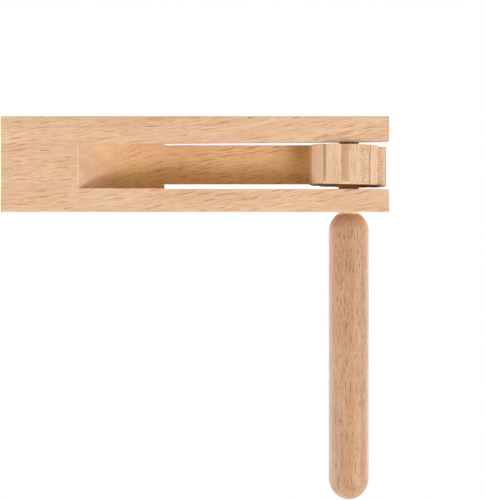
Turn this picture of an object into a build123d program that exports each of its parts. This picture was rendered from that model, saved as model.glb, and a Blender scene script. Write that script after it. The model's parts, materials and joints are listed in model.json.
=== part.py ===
from build123d import *
import math
import os

# A hand-spun wooden ratchet noise maker. A forked beech block swings round the
# axle on top of a turned handle, and the thin tongue sawn out of the middle of
# the block clicks over the teeth of a cog that is glued to the axle.
# X runs along the block to its open end, Y to the back and Z up the handle.
# The origin is on the handle's axis, halfway along the straight of the grip.
# All sizes are in millimetres and all angles in degrees.

# Block
block_length = 200.0
block_depth = 30.0
upper_rail_height = 12.95
lower_rail_height = 11.8
axle_setback = 20.3  # from the open end of the rails to the axle
arris_radius = 0.6  # along the outer edges of the front and back

# Tongue, freed from the rails by two saw cuts
tongue_root = 83.7  # from the closed end of the block to the end of the saw cuts
tongue_height = 20.3
tongue_thickness = 3.0
tongue_setback = 2.5  # from the axle's plane back to the middle of the tongue
tongue_engagement = 1.4  # how far the tip reaches inside the tips of the teeth
upper_kerf = 1.8  # at the open end
upper_kerf_root = 0.95  # where the upper saw cut ends
lower_kerf = 2.45
flex_gap = 0.15  # at the line where the tongue bends

# Scoops that thin the block down to the tongue, front and back
scoop_radius = 69.0
scoop_margin = 0.4  # from the end of each saw cut in to the edge of the scoop
scoop_arris = 0.25

# Cog
cog_radius = 20.05
cog_gap_below = 1.8  # from the lower rail up to the cog
cog_gap_above = 2.4  # from the cog up to the upper rail
tooth_count = 12
notch_depth = 2.8
notch_floor_width = 4.1
notch_wall_lean = 6.0
cog_turn = -0.6  # how far the cog has turned from a notch square on to the tongue

# Axle
axle_diameter = 10.4
axle_seat_depth = 30.0
axle_top_recess = 0.5
axle_end_chamfer = 0.6
running_clearance = 0.1
glue_clearance = 0.05

# Handle
handle_diameter = 20.8
grip_length = 128.4
shoulder_height = 8.0
shoulder_land = 1.0  # flat ring left round the axle
dome_height = 11.7
dome_roundness = 0.55  # share of each arm of the dome's curve that gives a quarter ellipse
neck_gap = 1.4  # between the handle and the lower rail

# Places that follow from the sizes
axle_radius = axle_diameter / 2
handle_radius = handle_diameter / 2
grip_top = grip_length / 2
grip_bottom = -grip_length / 2
handle_top = grip_top + shoulder_height
handle_bottom = grip_bottom - dome_height
block_bottom = handle_top + neck_gap
channel_bottom = block_bottom + lower_rail_height
tongue_bottom = channel_bottom + lower_kerf
tongue_top = tongue_bottom + tongue_height
channel_top = tongue_top + upper_kerf
channel_root_top = tongue_top + upper_kerf_root
block_top = channel_top + upper_rail_height
closed_end_x = axle_setback - block_length
root_x = closed_end_x + tongue_root
tongue_tip_x = tongue_engagement - cog_radius
tongue_front_y = tongue_setback - tongue_thickness / 2
tongue_back_y = tongue_setback + tongue_thickness / 2

# Forked block: two rails, a solid end, and the scooped web that the tongue grows from
with BuildPart() as frame_block:
    with BuildSketch(Plane.XY.offset(block_bottom)):
        with Locations((closed_end_x, 0)):
            Rectangle(block_length, block_depth, align=(Align.MIN, Align.CENTER))
    extrude(amount=block_top - block_bottom)
    with BuildSketch(Plane.XY.offset(channel_bottom + scoop_margin)):
        with Locations((root_x, tongue_front_y - scoop_radius), (root_x, tongue_back_y + scoop_radius)):
            Circle(scoop_radius)
    extrude(amount=channel_root_top - channel_bottom - 2 * scoop_margin, mode=Mode.SUBTRACT)
    front = frame_block.faces().sort_by(Axis.Y)[0]
    back = frame_block.faces().sort_by(Axis.Y)[-1]
    outer_edges = front.outer_wire().edges() + back.outer_wire().edges()
    scoop_edges = front.inner_wires()[0].edges() + back.inner_wires()[0].edges()
    fillet(outer_edges, arris_radius)
    fillet(scoop_edges, scoop_arris)
    with BuildSketch(Plane.XZ):
        with BuildLine():
            Polyline(
                (root_x, channel_bottom),
                (axle_setback, channel_bottom),
                (axle_setback, channel_top),
                (root_x, channel_root_top),
                close=True,
            )
        make_face()
    extrude(amount=block_depth / 2, both=True, mode=Mode.SUBTRACT)
    with BuildSketch(Plane.XY.offset(block_bottom)):
        Circle(axle_radius + running_clearance)
    extrude(amount=block_top - block_bottom, mode=Mode.SUBTRACT)

# Tongue: a thin springy reed with a rounded tip that drops into the cog's notches
with BuildPart() as tongue:
    with BuildSketch(Plane.XY.offset(tongue_bottom)):
        with BuildLine():
            reed_end_x = tongue_tip_x - tongue_thickness / 2
            reed_start_x = root_x + flex_gap
            Line((reed_start_x, tongue_front_y), (reed_end_x, tongue_front_y))
            ThreePointArc(
                (reed_end_x, tongue_front_y),
                (tongue_tip_x, tongue_setback),
                (reed_end_x, tongue_back_y),
            )
            Line((reed_end_x, tongue_back_y), (reed_start_x, tongue_back_y))
            Line((reed_start_x, tongue_back_y), (reed_start_x, tongue_front_y))
        make_face()
    extrude(amount=tongue_height)

# Cog: square-topped teeth, with one notch facing the tip of the tongue
with BuildPart() as cog:
    tip_angle = 180 - math.degrees(math.atan2(tongue_setback, -tongue_tip_x))
    cutter_height = 2 * notch_depth
    cutter_width = notch_floor_width + 2 * cutter_height * math.tan(math.radians(notch_wall_lean))
    with BuildSketch(Plane.XY.offset(channel_bottom + cog_gap_below)):
        Circle(cog_radius)
        Circle(axle_radius + glue_clearance, mode=Mode.SUBTRACT)
        with PolarLocations(cog_radius, tooth_count, start_angle=tip_angle + cog_turn):
            Trapezoid(cutter_width, cutter_height, 90 - notch_wall_lean, rotation=90, mode=Mode.SUBTRACT)
    extrude(amount=channel_top - channel_bottom - cog_gap_below - cog_gap_above)

# Axle: a plain dowel from the bottom of its seat in the handle to the top rail
with BuildPart() as axle:
    axle_bottom = handle_top - axle_seat_depth
    with BuildSketch(Plane.XY.offset(axle_bottom)):
        Circle(axle_radius)
    extrude(amount=block_top - axle_top_recess - axle_bottom)
    chamfer(axle.edges().filter_by(GeomType.CIRCLE), axle_end_chamfer)

# Handle: turned, with a rounded shoulder, a straight grip and a domed end
with BuildPart() as handle:
    with BuildSketch(Plane.XZ):
        with BuildLine():
            Bezier(
                (0, handle_bottom),
                (dome_roundness * handle_radius, handle_bottom),
                (handle_radius, grip_bottom - dome_roundness * dome_height),
                (handle_radius, grip_bottom),
            )
            Line((handle_radius, grip_bottom), (handle_radius, grip_top))
            Bezier(
                (handle_radius, grip_top),
                (handle_radius, grip_top + shoulder_height / 2),
                (axle_radius + shoulder_land, handle_top),
            )
            Line((axle_radius + shoulder_land, handle_top), (0, handle_top))
            Line((0, handle_top), (0, handle_bottom))
        make_face()
    revolve(axis=Axis.Z)
    with BuildSketch(Plane.XY.offset(handle_top)):
        Circle(axle_radius + glue_clearance)
    extrude(amount=-axle_seat_depth, mode=Mode.SUBTRACT)

frame_block.part.label = "frame_block"
tongue.part.label = "tongue"
cog.part.label = "cog"
axle.part.label = "axle"
handle.part.label = "handle"

os.makedirs("parts", exist_ok=True)
export_step(frame_block.part, "parts/frame_block.step")
export_step(tongue.part, "parts/tongue.step")
export_step(cog.part, "parts/cog.step")
export_step(axle.part, "parts/axle.step")
export_step(handle.part, "parts/handle.step")
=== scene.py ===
import json
import math

import bmesh
import bpy
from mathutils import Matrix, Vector, noise


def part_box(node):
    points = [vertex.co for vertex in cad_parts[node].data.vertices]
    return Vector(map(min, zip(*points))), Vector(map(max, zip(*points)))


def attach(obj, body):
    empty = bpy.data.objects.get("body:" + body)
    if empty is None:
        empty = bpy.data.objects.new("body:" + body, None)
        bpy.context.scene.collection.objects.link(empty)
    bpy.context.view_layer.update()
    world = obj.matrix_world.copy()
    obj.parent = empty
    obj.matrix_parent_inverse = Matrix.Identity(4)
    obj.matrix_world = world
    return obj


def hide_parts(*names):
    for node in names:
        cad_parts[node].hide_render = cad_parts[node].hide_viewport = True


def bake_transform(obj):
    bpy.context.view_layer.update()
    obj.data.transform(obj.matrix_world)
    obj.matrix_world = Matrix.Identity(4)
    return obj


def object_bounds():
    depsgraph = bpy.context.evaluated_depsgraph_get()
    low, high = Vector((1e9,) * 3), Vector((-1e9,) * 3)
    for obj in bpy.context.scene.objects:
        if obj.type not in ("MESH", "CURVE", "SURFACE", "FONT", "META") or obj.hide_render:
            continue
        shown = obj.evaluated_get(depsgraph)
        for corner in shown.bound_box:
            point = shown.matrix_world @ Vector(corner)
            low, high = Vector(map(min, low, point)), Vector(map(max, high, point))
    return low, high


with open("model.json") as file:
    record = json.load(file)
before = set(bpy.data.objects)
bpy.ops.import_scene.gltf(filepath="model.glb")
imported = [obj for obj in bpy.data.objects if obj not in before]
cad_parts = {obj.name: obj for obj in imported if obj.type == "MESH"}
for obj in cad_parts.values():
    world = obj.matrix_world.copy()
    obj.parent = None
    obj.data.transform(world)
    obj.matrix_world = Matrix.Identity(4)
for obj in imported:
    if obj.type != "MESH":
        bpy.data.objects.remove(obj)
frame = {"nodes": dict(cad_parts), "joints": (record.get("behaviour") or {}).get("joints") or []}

cad_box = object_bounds()

MM = 0.001

# Places read from the frame
hinges = {joint["name"]: joint for joint in frame["joints"]}
block_low, block_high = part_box("frame_block")
tongue_low, tongue_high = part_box("tongue")
cog_low, cog_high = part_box("cog")
tongue_root = Vector(hinges["tongue_flex"]["pos_m"])

# The photograph's frame, in pixels of a 485 by 500 image
IMAGE_WIDTH = 485.0
IMAGE_HEIGHT = 500.0
BLOCK_LEFT_PX = 0.65
BLOCK_RIGHT_PX = 389.25
BLOCK_TOP_PX = 116.2
HORIZON_PX = 185.5
CAMERA_DISTANCE = 1.485
SENSOR_SIZE = 36.0

# Beech tones, as display colours out of 255: pale, rosy, deep, and the dark of the ray flecks
BLOCK_TONES = ((231, 197, 161), (229, 188, 155), (204, 157, 118), (172, 103, 60))
HANDLE_TONES = ((202, 160, 120), (198, 151, 111), (164, 113, 72), (92, 38, 8))
COG_TONES = ((236, 204, 169), (234, 198, 167), (204, 162, 122), (190, 142, 104))
# The axle's tones are paler than the wood alone: painted light that lifts the shade on its short neck
# under the block
AXLE_TONES = ((255, 236, 210), (254, 230, 204), (236, 198, 160), (194, 146, 104))

# Ray flecks, bold and small: the cell that holds one, its half length and its half width, in millimetres
BLOCK_FLECKS = ((12.0, 3.0, 40.0), 5.6, 0.17), ((6.0, 1.7, 25.0), 2.6, 0.13)
HANDLE_FLECKS = ((8.0, 2.0, 40.0), 3.2, 0.17), ((3.4, 0.85, 25.0), 1.6, 0.14)
COG_FLECKS = ((6.0, 2.0, 30.0), 1.4, 0.14), ((2.4, 1.1, 20.0), 0.5, 0.13)
FLECKED_CELLS = 0.8
SHORTEST_FLECK = 0.45
FLECK_CORE = 0.15
BOLD_SHARE = 0.95
SMALL_SHARE = 0.55
CUT_FLECKS = 0.4
INSIDE_FLECKS = 1.1

# The figure's cells in millimetres: along the grain, across it and outwards from the pith
WANDER_CELL = (70.0, 22.0, 22.0)
RIPPLE_CELL = (16.0, 3.0, 9.0)
RING_PATCH_CELL = (40.0, 6.0, 3.0)
PATCH_CELL = (55.0, 12.0, 12.0)
RAY_CELL = (26.0, 1.5, 22.0)
FIBRE_CELL = (6.0, 0.42, 0.42)
BLUSH_CELL = (30.0, 7.0, 7.0)
SPECKLE_CELL = (0.8, 0.55, 0.55)

# How far the grain wanders and ripples, in millimetres
WANDER = 6.0
RIPPLE = 0.5

# Late wood starts and ends at these shares of a ring's width, and it and the rosy tone come in patches
LATE_START = 0.4
LATE_END = 0.9
LATE_PATCHES = (0.35, 0.7)
BLUSH_PATCHES = (0.35, 0.65)

# How squarely a face lies across the grain or flat against the rings: from where, and from where fully
CUT_FACING = (0.1, 0.5)
END_FACING = (0.8, 0.98)
FLAT_FACING = (0.25, 0.75)

# How much the figure deepens the tone; pairs are for faces along the grain and faces cut across it
RING_SHARES = (0.22, 0.62)
FIBRE_SWINGS = (1.9, 0.8)
CUT_DEEPENING = 0.05
END_DEEPENING = 0.45
PATCH_SWING = 0.8
RAY_SWING = 0.7

# Beech in the cog's notches, paler partly as freshly sawn wood and partly as painted light against their
# shade, and the side of the cog where the saw tore the wood
SAWN_AND_PAINTED_LIGHT_TONE = (255, 232, 200)
SAWN_AND_PAINTED_LIGHT_SHARE = 0.3
SAWN_FADE = 0.4 * MM
PLANED_DEPTH = 0.33
SAWN_AND_PAINTED_LIGHT_DEPTH = 0.12
TORN_SIDE = 5.5 * MM
TORN_FADE = 1.0 * MM
TORN_DEEPENING = 0.7
SPECKLE_SWING = 6.5

# Painted shade where the scoops lay the block open: a warm, darker tint towards the middle of the block's
# depth, its lower edge and the tongue's tip by the cog, with more small flecks lower down
RECESS_SHADE_DEPTH = 12.0 * MM
RECESS_SHADE_HALF_HEIGHT = 13.0 * MM
RECESS_SHADE_FADE = 3.0 * MM
RECESS_SHADE_START = 20.0 * MM  # from the closed end
RECESS_SHADE_FULL = 40.0 * MM
RECESS_SHADE_TURN = 9.0 * MM  # from the middle, up to the full high tint and down to the full low one
TIP_SHADE_LOW = 3.0 * MM  # from the tongue's tip, where only the low tint is left
TIP_SHADE_HIGH = 16.0 * MM
PAINTED_SHADE_TINT_HIGH = (1.0, 1.0, 0.86, 1.0)
PAINTED_SHADE_TINT_LOW = (1.0, 0.91, 0.56, 1.0)
RECESS_FLECKS_LOW = 0.5
RECESS_FLECKS_HIGH = 0.05

# Painted highlight on the arris where a scoop meets the block's front or back, from the middle of its
# depth
ARRIS_INNER = 14.3 * MM
ARRIS_OUTER = 14.7 * MM
ARRIS_HIGHLIGHT_TONE = (250, 222, 190)
ARRIS_HIGHLIGHT_SHARE = 0.35

# Painted shade on the axle, a brown tint where it lies inside the block: up from the block's underside,
# and down from its top
AXLE_SHADE_TINT = (0.84, 0.62, 0.36, 1.0)
AXLE_SHADE_START = 5.0 * MM
AXLE_SHADE_FULL = 8.0 * MM
AXLE_SHADE_LAST = 7.0 * MM
AXLE_SHADE_END = 4.0 * MM

# The surface: pores that catch a little shadow, and smoother late wood
PORE_DEPTH = 0.08 * MM
PORE_STRENGTH = 0.25
FIBRE_RELIEF = 0.5
LATE_POLISH = 0.1
SHEEN_ROUGHNESS = 0.5

# Tongue
TONGUE_ARRIS = 0.25 * MM

# Cog: angles in degrees, with the notches numbered from the one that faces the tongue
TOOTH_COUNT = 12
COG_TURN = -0.6
NOTCH_FLOOR = 17.25 * MM  # from the axis
NOTCH_RIM_HALF = 6.70
NOTCH_FLOOR_HALF = 6.80
NOTCH_STRAYS = {1: -6.5, 2: 2.4, 3: 2.2, 4: 4.4, 5: 1.0}  # from even spacing
NOTCH_SPREADS = {2: -1.9, 4: 1.9, 5: -2.9}  # added to the half widths
NOTCH_RISES = {2: 1.2 * MM, 4: 2.1 * MM, 5: 0.4 * MM}  # how much shallower
BROKEN_TOOTH = 5
BROKEN_DEPTH = 1.8 * MM
COG_BORE = 5.25 * MM
COG_ARRIS = 0.22 * MM
COG_SAWN_RADIUS = 19.6 * MM
COG_OFFSET = Vector((-0.75 * MM, 0.0))
COG_DROP_RIGHT = 1.3
COG_DROP_BACK = 3.3
CHIP_START = -39.8
CHIP_END = -8.0
CHIP_DEPTH = 0.55 * MM
RIM_TEAR = 0.22 * MM
RIM_TEARS_PER_METRE = 420

# Corners sharper than this many degrees stay crisp
CREASE_ANGLE = 30

# Lamps: degrees round from the front towards the open end, degrees up, side in metres, and strength
LAMP_DISTANCE = 2.0
LAMPS = {
    "key_right": (52, -24, 0.63, 0.61),
    "panel_right": (52, 0, 0.8, 0.20),
    "panel_front_left": (-45, -25, 0.9, 0.25),
    "panel_left": (-80, -5, 0.8, 0.37),
    "panel_high_left": (-40, 25, 1.0, 0.22),
    "panel_top": (0, 80, 1.0, 0.52),
    "rim_right": (128, 0, 1.3, 0.37),
    "rim_left": (-128, 0, 1.3, 0.31),
    "panel_back": (180, 10, 1.3, 0.45),
}
AMBIENT = 0.04
WHITE = (1.0, 1.0, 1.0, 1.0)

# Floor, in metres
FLOOR_DROP = 1.1
FLOOR_HALF_SIZE = 2.4
FLOOR_GREY = (0.9, 0.9, 0.9, 1.0)
FLOOR_FADE_START = 0.3
FLOOR_FADE_END = 2.16
FLOOR_WHITE_SHARE = 0.8


def linear(display):
    """A linear RGBA colour from a display colour out of 255."""
    def channel(value):
        share = value / 255
        if share <= 0.04045:
            return share / 12.92
        return ((share + 0.055) / 1.055) ** 2.4
    return tuple(channel(value) for value in display) + (1.0,)


class Nodes:
    """Adds nodes to one tree. A socket given as an input is linked, and anything else is set on it."""

    def __init__(self, tree):
        self.tree = tree
        tree.nodes.clear()

    def add(self, kind, inputs=None, **settings):
        node = self.tree.nodes.new(kind)
        for name, value in settings.items():
            setattr(node, name, value)
        for socket, value in (inputs or {}).items():
            if isinstance(value, bpy.types.NodeSocket):
                self.tree.links.new(value, node.inputs[socket])
            else:
                node.inputs[socket].default_value = value
        return node

    def math(self, operation, first, second=0.0, third=0.0, clamp=False):
        inputs = {0: first, 1: second, 2: third}
        return self.add("ShaderNodeMath", inputs, operation=operation, use_clamp=clamp).outputs[0]

    def vector(self, operation, first, second):
        return self.add("ShaderNodeVectorMath", {0: first, 1: second}, operation=operation).outputs[0]

    def dot(self, vector, direction):
        node = self.add("ShaderNodeVectorMath", {0: vector, 1: direction}, operation="DOT_PRODUCT")
        return node.outputs["Value"]

    def length(self, vector):
        return self.add("ShaderNodeVectorMath", {0: vector}, operation="LENGTH").outputs["Value"]

    def combine(self, x, y, z):
        return self.add("ShaderNodeCombineXYZ", {0: x, 1: y, 2: z}).outputs[0]

    def noise(self, vector, cell, detail):
        """Noise from 0 to 1, with a length along each axis for its cell."""
        place = self.vector("DIVIDE", vector, cell)
        inputs = {"Vector": place, "Scale": 1.0, "Detail": detail}
        return self.add("ShaderNodeTexNoise", inputs).outputs["Fac"]

    def swing(self, vector, cell, detail, amount):
        """Noise about zero, with the given swing."""
        centred = self.math("SUBTRACT", self.noise(vector, cell, detail), 0.5)
        return self.math("MULTIPLY", centred, amount)

    def ramp(self, value, low, high, to_low=0.0, to_high=1.0):
        """A smooth step from to_low, where the value is low, to to_high, where it is high."""
        inputs = {"Value": value, 1: low, 2: high, 3: to_low, 4: to_high}
        return self.add("ShaderNodeMapRange", inputs, interpolation_type="SMOOTHSTEP").outputs[0]

    def between(self, share, first, second):
        """A smooth step from the first number to the second as the share goes from 0 to 1."""
        return self.ramp(share, 0.0, 1.0, first, second)

    def facing(self, normal, direction, low, high):
        """How squarely a surface faces along a direction, from 0 at low to 1 at high."""
        return self.ramp(self.math("ABSOLUTE", self.dot(normal, direction)), low, high)

    def mix(self, share, first, second):
        return self.add("ShaderNodeMix", {0: share, 6: first, 7: second}, data_type="RGBA").outputs[2]

    def tint(self, share, colour, filter_colour):
        inputs = {0: share, 6: colour, 7: filter_colour}
        return self.add("ShaderNodeMix", inputs, data_type="RGBA", blend_type="MULTIPLY").outputs[2]


def grain_places(nodes, place, grain, radial, rise, sweep):
    """Two positions in millimetres, along the grain, across it and outwards from the pith.

    The first is for straight grain, and the second follows the grain as it wanders and ripples. The
    outward part of the second comes third."""
    tangent = grain.cross(radial)
    along = nodes.dot(place, grain / MM)
    slope = nodes.math("MULTIPLY_ADD", along, sweep, rise)
    climb = nodes.math("MULTIPLY", along, slope)
    across = nodes.math("MULTIPLY_ADD", climb, -tangent.z, nodes.dot(place, tangent / MM))
    outward = nodes.math("MULTIPLY_ADD", climb, -radial.z, nodes.dot(place, radial / MM))
    straight = nodes.combine(along, across, outward)
    wander = nodes.swing(straight, WANDER_CELL, 2.0, WANDER)
    ripple = nodes.swing(straight, RIPPLE_CELL, 2.0, RIPPLE)
    across = nodes.math("ADD", nodes.math("ADD", across, wander), ripple)
    outward = nodes.math("ADD", outward, wander)
    return straight, nodes.combine(along, across, outward), outward


def late_wood(nodes, wood, outward, ring_width):
    """Growth rings: each darkens slowly to its late wood, then starts pale again."""
    rings = nodes.math("FRACT", nodes.math("DIVIDE", outward, ring_width))
    darkening = nodes.ramp(rings, LATE_START, LATE_END)
    late = nodes.math("MULTIPLY", darkening, nodes.ramp(rings, LATE_END, 1.0, 1.0, 0.0))
    patches = nodes.noise(wood, RING_PATCH_CELL, 1.0)
    return nodes.math("MULTIPLY", late, nodes.ramp(patches, *LATE_PATCHES))


def saw_marks(nodes, place, sawn_radius):
    """Where the saw laid wood open in the cog's notches, and where it tore it as well."""
    centred = nodes.vector("SUBTRACT", place, COG_OFFSET.to_3d())
    reach = nodes.length(nodes.vector("MULTIPLY", centred, (1.0, 1.0, 0.0)))
    sawn = nodes.ramp(reach, sawn_radius - SAWN_FADE, sawn_radius, 1.0, 0.0)
    run = nodes.dot(place, (1, 0, 0))
    torn = nodes.math("MULTIPLY", sawn, nodes.ramp(run, TORN_SIDE - TORN_FADE, TORN_SIDE + TORN_FADE))
    return sawn, torn


def wood_depth(nodes, straight, wood, late, fibre, cut, sawn, torn):
    """How deep the colour is, from 0 to 1: rings, patches, rays, fibres, the marks of the saw, and
    painted light that pales the notches.
    """
    rings = nodes.between(cut, *RING_SHARES)
    depth = nodes.math("MULTIPLY_ADD", late, rings, nodes.between(cut, 0.0, CUT_DEEPENING))
    depth = nodes.math("ADD", depth, nodes.swing(wood, PATCH_CELL, 2.0, PATCH_SWING))
    depth = nodes.math("ADD", depth, nodes.swing(wood, RAY_CELL, 3.0, RAY_SWING))
    fibres = nodes.math("SUBTRACT", fibre, 0.5)
    depth = nodes.math("MULTIPLY_ADD", fibres, nodes.between(cut, *FIBRE_SWINGS), depth)
    speckle = nodes.math("MULTIPLY", nodes.swing(straight, SPECKLE_CELL, 1.0, SPECKLE_SWING), torn)
    depth = nodes.math("ADD", depth, speckle)
    # Lighter colour in the notches, partly freshly sawn wood and partly painted light against their shade
    depth = nodes.math("ADD", depth, nodes.between(sawn, PLANED_DEPTH, SAWN_AND_PAINTED_LIGHT_DEPTH))
    return nodes.math("MULTIPLY_ADD", torn, TORN_DEEPENING, depth, clamp=True)


def scoop_places(nodes, place, painted_scoop_shading):
    """Three shares: how far inside the scoops, where painted shade tints them; how high up them and away
    from the tongue's tip, which lightens that tint; and how near the painted highlight on their arris.
    """
    depth = nodes.math("ABSOLUTE", nodes.dot(place, (0, 1, 0)))
    rise = nodes.math("SUBTRACT", nodes.dot(place, (0, 0, 1)), tongue_root.z)
    height = nodes.math("ABSOLUTE", rise)
    run = nodes.dot(place, (1, 0, 0))
    from_end = nodes.math("SUBTRACT", run, block_low.x)
    to_tip = nodes.math("SUBTRACT", tongue_high.x, run)
    level = nodes.ramp(height, RECESS_SHADE_HALF_HEIGHT, RECESS_SHADE_HALF_HEIGHT + RECESS_SHADE_FADE, painted_scoop_shading, 0.0)
    opened = nodes.math("MULTIPLY", level, nodes.ramp(from_end, RECESS_SHADE_START, RECESS_SHADE_FULL))
    inside = nodes.math("MULTIPLY", nodes.ramp(depth, 0.0, RECESS_SHADE_DEPTH, 1.0, 0.0), opened)
    upper = nodes.ramp(rise, -RECESS_SHADE_TURN, RECESS_SHADE_TURN)
    high = nodes.math("MULTIPLY", upper, nodes.ramp(to_tip, TIP_SHADE_LOW, TIP_SHADE_HIGH))
    near_arris = nodes.math("MULTIPLY", nodes.ramp(depth, ARRIS_INNER, ARRIS_OUTER), level)
    return inside, high, near_arris


def ray_flecks(nodes, wood, cell, half_length, half_width):
    """Dark spindles where the rays of the wood meet a surface: long with the grain and thin across it."""
    place = nodes.vector("DIVIDE", wood, cell)
    cells = nodes.add("ShaderNodeTexVoronoi", {"Vector": place, "Scale": 1.0})
    offset = nodes.vector("SUBTRACT", place, cells.outputs["Position"])
    parts = nodes.add("ShaderNodeSeparateXYZ", {0: nodes.vector("MULTIPLY", offset, cell)})
    chance = nodes.add("ShaderNodeSeparateColor", {0: cells.outputs["Color"]})
    length = nodes.math("MULTIPLY_ADD", chance.outputs[1], half_length, half_length * SHORTEST_FLECK)
    along = nodes.math("POWER", nodes.math("DIVIDE", parts.outputs[0], length), 2.0)
    across = nodes.math("POWER", nodes.math("DIVIDE", parts.outputs[1], half_width), 2.0)
    spindle = nodes.ramp(nodes.math("ADD", along, across), FLECK_CORE, 1.0, 1.0, 0.0)
    strength = nodes.ramp(chance.outputs[0], 1.0 - FLECKED_CELLS, 1.0 - FLECKED_CELLS / 3)
    return nodes.math("MULTIPLY", spindle, strength)


def painted_axle_shade(nodes, place, axle_shade):
    """How strongly painted shade tints the axle brown inside the block, fading out towards its ends."""
    level = nodes.dot(place, (0, 0, 1))
    rubbed = nodes.ramp(level, block_low.z + AXLE_SHADE_START, block_low.z + AXLE_SHADE_FULL, 0.0, axle_shade)
    top = nodes.ramp(level, block_high.z - AXLE_SHADE_LAST, block_high.z - AXLE_SHADE_END, 1.0, 0.0)
    return nodes.math("MULTIPLY", rubbed, top)


def beech(name, tones, flecks, grain, radial, ring_width=0.75, rise=0.0, sweep=0.0, painted_scoop_shading=0.0,
          sawn_radius=0.0, axle_shade=0.0, roughness=0.75, gloss=0.35, sheen=0.0):
    """Bare beech as a solid texture: growth rings, rays, fibres and flecks that run through the piece.

    grain and radial are directions in the frame, and rise and sweep lean and bend the grain upwards along
    its run. One setting gives how strongly the scoops show painted shade, a warm darker tint where their
    recess lies in shade, and a painted highlight on their arrises. Surfaces nearer the cog's axis than
    sawn_radius were cut by the saw. They are paler, partly as freshly sawn wood and partly as painted
    light against the notches' shade. Another setting gives how strongly the axle inside the block takes
    painted shade, a brown tint. roughness, gloss and sheen say how smooth the surface was sanded."""
    material = bpy.data.materials.new(name)
    material.use_nodes = True
    nodes = Nodes(material.node_tree)
    coordinates = nodes.add("ShaderNodeTexCoord")
    place, normal = coordinates.outputs["Object"], coordinates.outputs["Normal"]
    grain = Vector(grain).normalized()
    radial = (Vector(radial) - grain * grain.dot(Vector(radial))).normalized()
    straight, wood, outward = grain_places(nodes, place, grain, radial, rise, sweep)
    late = late_wood(nodes, wood, outward, ring_width)
    fibre = nodes.noise(wood, FIBRE_CELL, 3.0)
    sawn, torn = saw_marks(nodes, place, sawn_radius)
    inside, high, near_arris = scoop_places(nodes, place, painted_scoop_shading)

    # How the surface lies to the wood: cut across the grain, on its end, or flat against the rings
    cut = nodes.facing(normal, grain, *CUT_FACING)
    end = nodes.facing(normal, grain, *END_FACING)
    flat = nodes.facing(normal, radial, *FLAT_FACING)

    # Plain wood, its notches paled partly by painted light, and a painted highlight on the scoops'
    # arrises
    pale, rosy, deep, dark = (linear(tone) for tone in tones)
    blush = nodes.ramp(nodes.noise(wood, BLUSH_CELL, 2.0), *BLUSH_PATCHES)
    depth = wood_depth(nodes, straight, wood, late, fibre, cut, sawn, torn)
    colour = nodes.mix(depth, nodes.mix(blush, pale, rosy), deep)
    colour = nodes.mix(nodes.math("MULTIPLY", end, END_DEEPENING), colour, deep)
    # Paler notches: partly freshly sawn wood, partly painted light against their shade
    sawn_and_painted_light = nodes.math("SUBTRACT", sawn, torn)
    colour = nodes.mix(nodes.math("MULTIPLY", sawn_and_painted_light, SAWN_AND_PAINTED_LIGHT_SHARE), colour, linear(SAWN_AND_PAINTED_LIGHT_TONE))
    # A painted highlight along the arris where the scoops meet the block's front and back
    arris_highlight = nodes.math("MULTIPLY", near_arris, nodes.math("SUBTRACT", cut, end))
    colour = nodes.mix(nodes.math("MULTIPLY", arris_highlight, ARRIS_HIGHLIGHT_SHARE), colour, linear(ARRIS_HIGHLIGHT_TONE))

    # Ray flecks on faces along the grain and flat against the rings
    bold_size, small_size = flecks
    shown = nodes.math("MULTIPLY", flat, nodes.between(cut, 1.0, CUT_FLECKS))
    shown = nodes.math("MULTIPLY", shown, nodes.between(inside, 1.0, INSIDE_FLECKS), clamp=True)
    bold = nodes.math("MULTIPLY", ray_flecks(nodes, wood, *bold_size), shown)
    small = nodes.math("MULTIPLY", ray_flecks(nodes, wood, *small_size), shown)
    lively = nodes.between(high, RECESS_FLECKS_LOW, RECESS_FLECKS_HIGH)
    small_share = nodes.math("MULTIPLY_ADD", inside, lively, SMALL_SHARE)
    colour = nodes.mix(nodes.math("MULTIPLY", small, small_share), colour, dark)
    colour = nodes.mix(nodes.math("MULTIPLY", bold, BOLD_SHARE), colour, dark)

    # Painted shade: a warm, darker tint inside the scoops, and a brown tint on the axle inside the block
    colour = nodes.tint(inside, colour, nodes.mix(high, PAINTED_SHADE_TINT_LOW, PAINTED_SHADE_TINT_HIGH))
    colour = nodes.tint(painted_axle_shade(nodes, place, axle_shade), colour, AXLE_SHADE_TINT)

    relief = nodes.math("SUBTRACT", nodes.math("MULTIPLY", fibre, FIBRE_RELIEF), bold)
    bump = nodes.add("ShaderNodeBump", {
        "Strength": PORE_STRENGTH,
        "Distance": PORE_DEPTH,
        "Height": relief,
    })
    shader = nodes.add("ShaderNodeBsdfPrincipled", {
        "Base Color": colour,
        "Roughness": nodes.between(late, roughness, roughness - LATE_POLISH),
        "Specular IOR Level": gloss,
        "Sheen Weight": sheen,
        "Sheen Roughness": SHEEN_ROUGHNESS,
        "Normal": bump.outputs[0],
    })
    nodes.add("ShaderNodeOutputMaterial", {"Surface": shader.outputs[0]})
    return material


def dress(piece, material):
    """Gives a piece one material in place of what it had."""
    piece.data.materials.clear()
    piece.data.materials.append(material)


def mesh_piece(name, mesh):
    """A new object in the scene from a finished bmesh."""
    data = bpy.data.meshes.new(name)
    mesh.to_mesh(data)
    mesh.free()
    piece = bpy.data.objects.new(name, data)
    bpy.context.scene.collection.objects.link(piece)
    return piece


def bridge(mesh, before, after):
    """A closed band of faces between two loops with as many points."""
    for index in range(len(before)):
        following = (index + 1) % len(before)
        face = mesh.faces.new((before[index], before[following], after[following], after[index]))
        face.smooth = True


def crease(mesh):
    """Turns the faces outwards and keeps sharp corners crisp."""
    bmesh.ops.recalc_face_normals(mesh, faces=mesh.faces)
    for edge in mesh.edges:
        edge.smooth = edge.calc_face_angle(0.0) < math.radians(CREASE_ANGLE)


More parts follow.
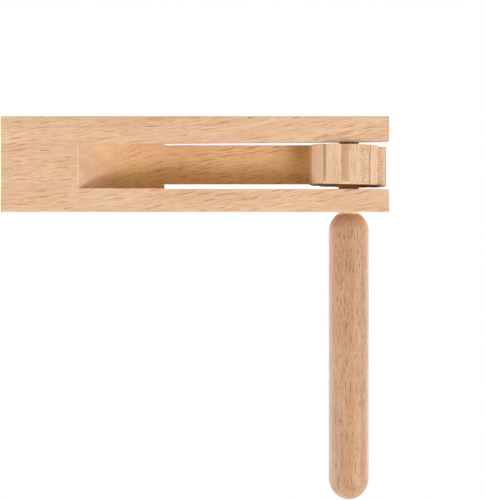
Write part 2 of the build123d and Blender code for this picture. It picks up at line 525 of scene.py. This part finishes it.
def rounded_section(half_y, half_z, radius, steps):
    """Points of a rounded rectangle, as (y, z) offsets from its centre, counter-clockwise."""
    points = []
    for corner in range(4):
        sign_y = 1 if corner in (0, 3) else -1
        sign_z = 1 if corner in (0, 1) else -1
        for step in range(steps + 1):
            angle = math.radians(90 * (corner + step / steps))
            y = sign_y * (half_y - radius) + radius * math.cos(angle)
            z = sign_z * (half_z - radius) + radius * math.sin(angle)
            points.append((y, z))
    return points


def make_tongue():
    """The springy reed: one smooth strip from its root in the block to its rounded tip."""
    half_thickness = (tongue_high.y - tongue_low.y) / 2
    half_height = (tongue_high.z - tongue_low.z) / 2
    centre_y = (tongue_high.y + tongue_low.y) / 2
    centre_z = (tongue_high.z + tongue_low.z) / 2
    round_start = tongue_high.x - half_thickness
    straight_steps = 60
    round_steps = 8
    corner_steps = 3
    last_angle = 88  # just short of a point
    widest_arris = 0.9  # of the half thickness
    sections = []
    for step in range(straight_steps + 1):
        x = tongue_root.x + (round_start - tongue_root.x) * step / straight_steps
        sections.append((x, half_thickness))
    for step in range(1, round_steps + 1):
        angle = math.radians(last_angle * step / round_steps)
        x = round_start + half_thickness * math.sin(angle)
        sections.append((x, half_thickness * math.cos(angle)))

    mesh = bmesh.new()
    loops = []
    for x, half_y in sections:
        corner = min(TONGUE_ARRIS, half_y * widest_arris)
        outline = rounded_section(half_y, half_height, corner, corner_steps)
        loops.append([mesh.verts.new((x, centre_y + y, centre_z + z)) for y, z in outline])
    for before, after in zip(loops, loops[1:]):
        bridge(mesh, before, after)
    mesh.faces.new(reversed(loops[0]))
    mesh.faces.new(loops[-1])
    crease(mesh)
    return mesh_piece("tongue_reed", mesh)


def cog_outline(radius):
    """The cog's outline as (x, y) points, counter-clockwise: lands, notch walls and notch floors."""
    tongue_y = (tongue_high.y + tongue_low.y) / 2
    first_notch = math.degrees(math.atan2(tongue_y, tongue_high.x)) + COG_TURN
    pitch = 360 / TOOTH_COUNT
    middles = []
    for count in range(TOOTH_COUNT):
        middles.append(first_notch + pitch * count + NOTCH_STRAYS.get(count, 0.0))
    floor_steps = 4
    land_steps = 8
    points = []

    def arc(start, stop, reach_start, reach_stop, steps):
        for step in range(steps + 1):
            share = step / steps
            angle = math.radians(start + (stop - start) * share)
            reach = reach_start + (reach_stop - reach_start) * share
            points.append(Vector((reach * math.cos(angle), reach * math.sin(angle))))

    for count, middle in enumerate(middles):
        after = (count + 1) % TOOTH_COUNT
        following = middles[after] if after else middles[after] + 360
        floor = NOTCH_FLOOR + NOTCH_RISES.get(count, 0.0)
        floor_half = NOTCH_FLOOR_HALF + NOTCH_SPREADS.get(count, 0.0)
        land_start = middle + NOTCH_RIM_HALF + NOTCH_SPREADS.get(count, 0.0)
        land_end = following - NOTCH_RIM_HALF - NOTCH_SPREADS.get(after, 0.0)
        land_reach = radius - BROKEN_DEPTH if count == BROKEN_TOOTH else radius
        arc(middle - floor_half, middle + floor_half, floor, floor, floor_steps)
        arc(land_start, land_end, land_reach, radius, land_steps)
    return points


def inset(outline, amount):
    """The outline moved inwards by an amount at each point, less at very sharp corners."""
    sharpest = 0.6
    moved = []
    for index, point in enumerate(outline):
        before = (point - outline[index - 1]).normalized()
        after = (outline[(index + 1) % len(outline)] - point).normalized()
        inward = Vector((-before.y - after.y, before.x + after.x))
        reach = max(inward.length, sharpest)
        moved.append(point + inward.normalized() * amount * 2 / reach)
    return moved


def make_cog():
    """The toothed cog, a little out of true on its axle, with eased and slightly torn rims."""
    radius = (cog_high.x - cog_low.x) / 2
    outline = cog_outline(radius)
    rim = inset(outline, COG_ARRIS)
    bore = [point.normalized() * COG_BORE for point in outline]
    outline = [point + COG_OFFSET for point in outline]
    rim = [point + COG_OFFSET for point in rim]
    drop = Vector((math.tan(math.radians(COG_DROP_RIGHT)), math.tan(math.radians(COG_DROP_BACK))))
    middle = (cog_low.z + cog_high.z) / 2
    mesh = bmesh.new()

    def loop(points, height, tear):
        level = []
        for point in points:
            torn = noise.noise(Vector((point.x, point.y, height)) * RIM_TEARS_PER_METRE) * tear
            turn = math.degrees(math.atan2(point.y, point.x))
            if height > middle and CHIP_START < turn < CHIP_END:
                torn -= CHIP_DEPTH
            level.append(mesh.verts.new((point.x, point.y, height - point.dot(drop) + torn)))
        return level

    loops = [
        loop(bore, cog_low.z, 0.0),
        loop(rim, cog_low.z, 0.0),
        loop(outline, cog_low.z + COG_ARRIS, RIM_TEAR),
        loop(outline, cog_high.z - COG_ARRIS, RIM_TEAR),
        loop(rim, cog_high.z, 0.0),
        loop(bore, cog_high.z, 0.0),
    ]
    for before, after in zip(loops, loops[1:] + loops[:1]):
        bridge(mesh, before, after)
    crease(mesh)
    return mesh_piece("cog_wheel", mesh)


# Materials: the block's growth rings lean back as they rise, so the scoops cut across them
block_wood = beech(
    "block_beech", BLOCK_TONES, BLOCK_FLECKS, grain=(1, 0, 0), radial=(0, 0.87, 0.5),
    ring_width=0.95, rise=0.21, sweep=0.0003, painted_scoop_shading=1.0,
)
handle_wood = beech(
    "handle_beech", HANDLE_TONES, HANDLE_FLECKS, grain=(0, 0, 1), radial=(0.25, -1, 0),
    ring_width=3.0, roughness=0.52, gloss=0.55, sheen=0.45,
)
cog_wood = beech(
    "cog_beech", COG_TONES, COG_FLECKS, grain=(0, 0, 1), radial=(0.6, -0.8, 0),
    ring_width=1.7, sawn_radius=COG_SAWN_RADIUS,
)
axle_wood = beech(
    "axle_beech", AXLE_TONES, HANDLE_FLECKS, grain=(0, 0, 1), radial=(0.7, 0.7, 0),
    axle_shade=1.0,
)

dress(frame["nodes"]["frame_block"], block_wood)
dress(frame["nodes"]["handle"], handle_wood)
dress(frame["nodes"]["axle"], axle_wood)

# Tongue: one smooth strip from its root in the block, in place of the frame's tongue
reed = make_tongue()
dress(reed, block_wood)
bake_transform(reed)
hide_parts("tongue")

# Cog: it turns with the handle
cog = make_cog()
dress(cog, cog_wood)
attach(cog, "handle")
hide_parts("cog")


def area_light(name, azimuth, elevation, size, strength):
    """A soft square lamp that faces the middle of the object.

    A strength of 1 shows a colour that faces the lamp as it is written."""
    centre = (cad_box[0] + cad_box[1]) / 2
    turn, climb = math.radians(azimuth), math.radians(elevation)
    towards = Vector((
        math.sin(turn) * math.cos(climb),
        -math.cos(turn) * math.cos(climb),
        math.sin(climb),
    ))
    lamp = bpy.data.lights.new(name, "AREA")
    lamp.shape = "SQUARE"
    lamp.size = size
    lamp.energy = strength * (math.pi * LAMP_DISTANCE) ** 2
    light = bpy.data.objects.new(name, lamp)
    light.location = centre + towards * LAMP_DISTANCE
    light.rotation_euler = (-towards).to_track_quat("-Z", "Y").to_euler()
    light.visible_camera = False
    bpy.context.scene.collection.objects.link(light)


# A key lamp low on the right, soft panels round the front, above and behind, and two rims at the back
for lamp_name, lamp_settings in LAMPS.items():
    area_light(lamp_name, *lamp_settings)


def seen_rays(nodes):
    """1 for rays from the camera, straight or by way of a reflection or a clear piece."""
    path = nodes.add("ShaderNodeLightPath")
    seen = nodes.math("MAXIMUM", path.outputs["Is Camera Ray"], path.outputs["Is Glossy Ray"])
    return nodes.math("MAXIMUM", seen, path.outputs["Is Transmission Ray"])


def set_world():
    """White behind the object, with a plain grey light on it."""
    world = bpy.data.worlds.new("studio")
    bpy.context.scene.world = world
    world.use_nodes = True
    nodes = Nodes(world.node_tree)
    light = nodes.add("ShaderNodeBackground", {"Color": WHITE, "Strength": AMBIENT})
    white = nodes.add("ShaderNodeBackground", {"Color": WHITE, "Strength": 1.0})
    shaders = {0: seen_rays(nodes), 1: light.outputs[0], 2: white.outputs[0]}
    both = nodes.add("ShaderNodeMixShader", shaders)
    nodes.add("ShaderNodeOutputWorld", {"Surface": both.outputs[0]})


set_world()


def make_floor():
    """A pale floor well below the object, under the lamps, that fades into the white at its edges."""
    mesh = bmesh.new()
    bmesh.ops.create_grid(mesh, x_segments=1, y_segments=1, size=FLOOR_HALF_SIZE)
    floor = mesh_piece("floor", mesh)
    floor.location.z = cad_box[0].z - FLOOR_DROP
    material = bpy.data.materials.new("floor_white")
    material.use_nodes = True
    nodes = Nodes(material.node_tree)
    paint = nodes.add("ShaderNodeBsdfDiffuse", {"Color": FLOOR_GREY})
    glow = nodes.add("ShaderNodeEmission", {"Color": WHITE, "Strength": 1.0})
    reach = nodes.length(nodes.add("ShaderNodeTexCoord").outputs["Object"])
    fade = nodes.ramp(reach, FLOOR_FADE_START, FLOOR_FADE_END, FLOOR_WHITE_SHARE, 1.0)
    share = nodes.math("MULTIPLY", seen_rays(nodes), fade)
    both = nodes.add("ShaderNodeMixShader", {0: share, 1: paint.outputs[0], 2: glow.outputs[0]})
    nodes.add("ShaderNodeOutputMaterial", {"Surface": both.outputs[0]})
    dress(floor, material)


make_floor()


def make_camera():
    """Square on to the block's front face, level, with the lens shifted down to frame the handle."""
    scale = (block_high.x - block_low.x) / (BLOCK_RIGHT_PX - BLOCK_LEFT_PX)
    camera = bpy.data.cameras.new("camera")
    camera.sensor_fit = "AUTO"
    camera.sensor_width = SENSOR_SIZE
    camera.lens = CAMERA_DISTANCE / scale * SENSOR_SIZE / IMAGE_HEIGHT
    camera.shift_y = (HORIZON_PX - IMAGE_HEIGHT / 2) / IMAGE_HEIGHT
    camera.clip_start = 0.01
    view = bpy.data.objects.new("camera", camera)
    view.location = (
        block_low.x + (IMAGE_WIDTH / 2 - BLOCK_LEFT_PX) * scale,
        block_low.y - CAMERA_DISTANCE,
        block_high.z - (HORIZON_PX - BLOCK_TOP_PX) * scale,
    )
    view.rotation_euler = (math.radians(90), 0, 0)
    bpy.context.scene.collection.objects.link(view)
    bpy.context.scene.camera = view


make_camera()
bpy.context.scene.view_settings.view_transform = "Standard"
